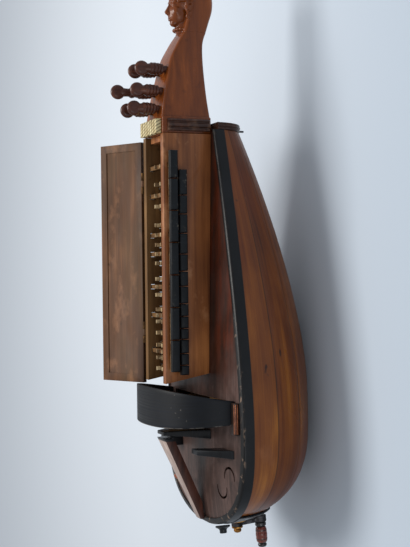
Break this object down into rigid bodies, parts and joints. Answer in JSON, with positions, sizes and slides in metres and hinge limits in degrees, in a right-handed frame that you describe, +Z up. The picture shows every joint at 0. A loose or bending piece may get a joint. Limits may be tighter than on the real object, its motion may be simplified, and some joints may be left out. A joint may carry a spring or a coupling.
{
  "type": "hurdy-gurdy",
  "caption": "Lute-backed hurdy-gurdy: glued bowl, soundboard, crank-turned wheel under an arched cover, key box with sliding keys and open lid, tuning pegs and a carved head.",
  "frame": {"origin": "under the middle of the bounding box, at the level of the bowl's lowest stave", "axes": "+X along the strings to the carved head, +Y away from the keys' heads, +Z up through the soundboard"},
  "size_m": [0.6504, 0.2278, 0.2211],
  "materials": {
    "bowl_wood": "oiled golden-brown hardwood",
    "keybox_wood": "worn reddish-brown hardwood",
    "board_wood": "aged dark softwood",
    "plain_wood": "bare wood",
    "black_wood": "blackened hardwood, satin",
    "key_wood": "black key heads, pale tangents",
    "peg_wood": "turned and polished hardwood",
    "bone": "yellowed bone",
    "brass": "dull brass",
    "iron": "dark forged iron"
  },
  "bodies": {
    "instrument": {"bowl_shell": "bowl_wood", "end_clasp": "black_wood", "tail_block": "plain_wood", "wheel_crossbar": "plain_wood", "soundboard_brace": "plain_wood", "tail_bush": "brass", "soundboard": "board_wood", "soundboard_edging": "black_wood", "cover_bracket_near": "keybox_wood", "cover_bracket_far": "keybox_wood", "keybox_near_wall": "keybox_wood", "keybox_far_wall": "keybox_wood", "keybox_head_end": "keybox_wood", "keybox_tail_end": "keybox_wood", "lid_hinge_tail": "brass", "lid_hinge_head": "brass", "nut": "bone", "pegbox": "bowl_wood", "carved_head": "bowl_wood", "main_bridge": "black_wood", "drone_bridge": "black_wood", "trompette_bridge": "black_wood", "tailpiece": "keybox_wood", "tail_strap_button": "black_wood", "bowl_tail_knob": "black_wood", "neck_strap_pin": "iron"},
    "wheel_set": {"wheel": "plain_wood", "axle": "iron", "crank_arm": "iron", "crank_nut": "brass"},
    "handle": {"crank_handle": "peg_wood"},
    "lid": {"keybox_lid": "keybox_wood"},
    "cover": {"wheel_cover": "black_wood"},
    "tension": {"tension_peg": "brass"},
    "lower_key_01": {"lower_key_01": "key_wood"},
    "lower_key_02": {"lower_key_02": "key_wood"},
    "lower_key_03": {"lower_key_03": "key_wood"},
    "lower_key_04": {"lower_key_04": "key_wood"},
    "lower_key_05": {"lower_key_05": "key_wood"},
    "lower_key_06": {"lower_key_06": "key_wood"},
    "lower_key_07": {"lower_key_07": "key_wood"},
    "lower_key_08": {"lower_key_08": "key_wood"},
    "lower_key_09": {"lower_key_09": "key_wood"},
    "lower_key_10": {"lower_key_10": "key_wood"},
    "lower_key_11": {"lower_key_11": "key_wood"},
    "lower_key_12": {"lower_key_12": "key_wood"},
    "lower_key_13": {"lower_key_13": "key_wood"},
    "upper_key_01": {"upper_key_01": "key_wood"},
    "upper_key_02": {"upper_key_02": "key_wood"},
    "upper_key_03": {"upper_key_03": "key_wood"},
    "upper_key_04": {"upper_key_04": "key_wood"},
    "upper_key_05": {"upper_key_05": "key_wood"},
    "upper_key_06": {"upper_key_06": "key_wood"},
    "upper_key_07": {"upper_key_07": "key_wood"},
    "peg_near_1": {"peg_near_1": "peg_wood"},
    "peg_near_2": {"peg_near_2": "peg_wood"},
    "peg_near_3": {"peg_near_3": "peg_wood"},
    "peg_far_1": {"peg_far_1": "peg_wood"},
    "peg_far_2": {"peg_far_2": "peg_wood"},
    "peg_far_3": {"peg_far_3": "peg_wood"}
  },
  "joints": [
    {"name": "wheel_turn", "type": "hinge", "parent": "instrument", "child": "wheel_set", "pos_m": [-0.15581, 0, 0.09073], "axis": [0.9962, 0, 0.0872], "continuous": true},
    {"name": "handle_turn", "type": "hinge", "parent": "wheel_set", "child": "handle", "pos_m": [-0.15324, 0, 0.06134], "axis": [0.9962, 0, 0.0872], "continuous": true},
    {"name": "lid_swing", "type": "hinge", "parent": "instrument", "child": "lid", "pos_m": [0, 0.035, 0.17603], "axis": [1, 0, 0], "range_deg": [0, 152]},
    {"name": "cover_lift", "type": "slide", "parent": "instrument", "child": "cover", "axis": [0, 0, 1], "range_m": [0, 0.1]},
    {"name": "tension_turn", "type": "hinge", "parent": "instrument", "child": "tension", "pos_m": [-0.23919, 0.00912, 0.14184], "axis": [0, 1, 0], "continuous": true},
    {"name": "lower_key_01_press", "type": "slide", "parent": "instrument", "child": "lower_key_01", "axis": [0, 1, 0], "range_m": [0, 0.005]},
    {"name": "lower_key_02_press", "type": "slide", "parent": "instrument", "child": "lower_key_02", "axis": [0, 1, 0], "range_m": [0, 0.005]},
    {"name": "lower_key_03_press", "type": "slide", "parent": "instrument", "child": "lower_key_03", "axis": [0, 1, 0], "range_m": [0, 0.005]},
    {"name": "lower_key_04_press", "type": "slide", "parent": "instrument", "child": "lower_key_04", "axis": [0, 1, 0], "range_m": [0, 0.005]},
    {"name": "lower_key_05_press", "type": "slide", "parent": "instrument", "child": "lower_key_05", "axis": [0, 1, 0], "range_m": [0, 0.005]},
    {"name": "lower_key_06_press", "type": "slide", "parent": "instrument", "child": "lower_key_06", "axis": [0, 1, 0], "range_m": [0, 0.005]},
    {"name": "lower_key_07_press", "type": "slide", "parent": "instrument", "child": "lower_key_07", "axis": [0, 1, 0], "range_m": [0, 0.005]},
    {"name": "lower_key_08_press", "type": "slide", "parent": "instrument", "child": "lower_key_08", "axis": [0, 1, 0], "range_m": [0, 0.005]},
    {"name": "lower_key_09_press", "type": "slide", "parent": "instrument", "child": "lower_key_09", "axis": [0, 1, 0], "range_m": [0, 0.005]},
    {"name": "lower_key_10_press", "type": "slide", "parent": "instrument", "child": "lower_key_10", "axis": [0, 1, 0], "range_m": [0, 0.005]},
    {"name": "lower_key_11_press", "type": "slide", "parent": "instrument", "child": "lower_key_11", "axis": [0, 1, 0], "range_m": [0, 0.005]},
    {"name": "lower_key_12_press", "type": "slide", "parent": "instrument", "child": "lower_key_12", "axis": [0, 1, 0], "range_m": [0, 0.005]},
    {"name": "lower_key_13_press", "type": "slide", "parent": "instrument", "child": "lower_key_13", "axis": [0, 1, 0], "range_m": [0, 0.005]},
    {"name": "upper_key_01_press", "type": "slide", "parent": "instrument", "child": "upper_key_01", "axis": [0, 1, 0], "range_m": [0, 0.005]},
    {"name": "upper_key_02_press", "type": "slide", "parent": "instrument", "child": "upper_key_02", "axis": [0, 1, 0], "range_m": [0, 0.005]},
    {"name": "upper_key_03_press", "type": "slide", "parent": "instrument", "child": "upper_key_03", "axis": [0, 1, 0], "range_m": [0, 0.005]},
    {"name": "upper_key_04_press", "type": "slide", "parent": "instrument", "child": "upper_key_04", "axis": [0, 1, 0], "range_m": [0, 0.005]},
    {"name": "upper_key_05_press", "type": "slide", "parent": "instrument", "child": "upper_key_05", "axis": [0, 1, 0], "range_m": [0, 0.005]},
    {"name": "upper_key_06_press", "type": "slide", "parent": "instrument", "child": "upper_key_06", "axis": [0, 1, 0], "range_m": [0, 0.005]},
    {"name": "upper_key_07_press", "type": "slide", "parent": "instrument", "child": "upper_key_07", "axis": [0, 1, 0], "range_m": [0, 0.005]},
    {"name": "peg_near_1_turn", "type": "hinge", "parent": "instrument", "child": "peg_near_1", "pos_m": [0.17739, -0.0115, 0.17], "axis": [0, 0, 1], "continuous": true},
    {"name": "peg_near_2_turn", "type": "hinge", "parent": "instrument", "child": "peg_near_2", "pos_m": [0.19769, -0.0115, 0.17], "axis": [0, 0, 1], "continuous": true},
    {"name": "peg_near_3_turn", "type": "hinge", "parent": "instrument", "child": "peg_near_3", "pos_m": [0.22205, -0.0115, 0.17], "axis": [0, 0, 1], "continuous": true},
    {"name": "peg_far_1_turn", "type": "hinge", "parent": "instrument", "child": "peg_far_1", "pos_m": [0.17739, 0.0115, 0.17], "axis": [0, 0, 1], "continuous": true},
    {"name": "peg_far_2_turn", "type": "hinge", "parent": "instrument", "child": "peg_far_2", "pos_m": [0.19769, 0.0115, 0.17], "axis": [0, 0, 1], "continuous": true},
    {"name": "peg_far_3_turn", "type": "hinge", "parent": "instrument", "child": "peg_far_3", "pos_m": [0.22205, 0.0115, 0.17], "axis": [0, 0, 1], "continuous": true}
  ]
}
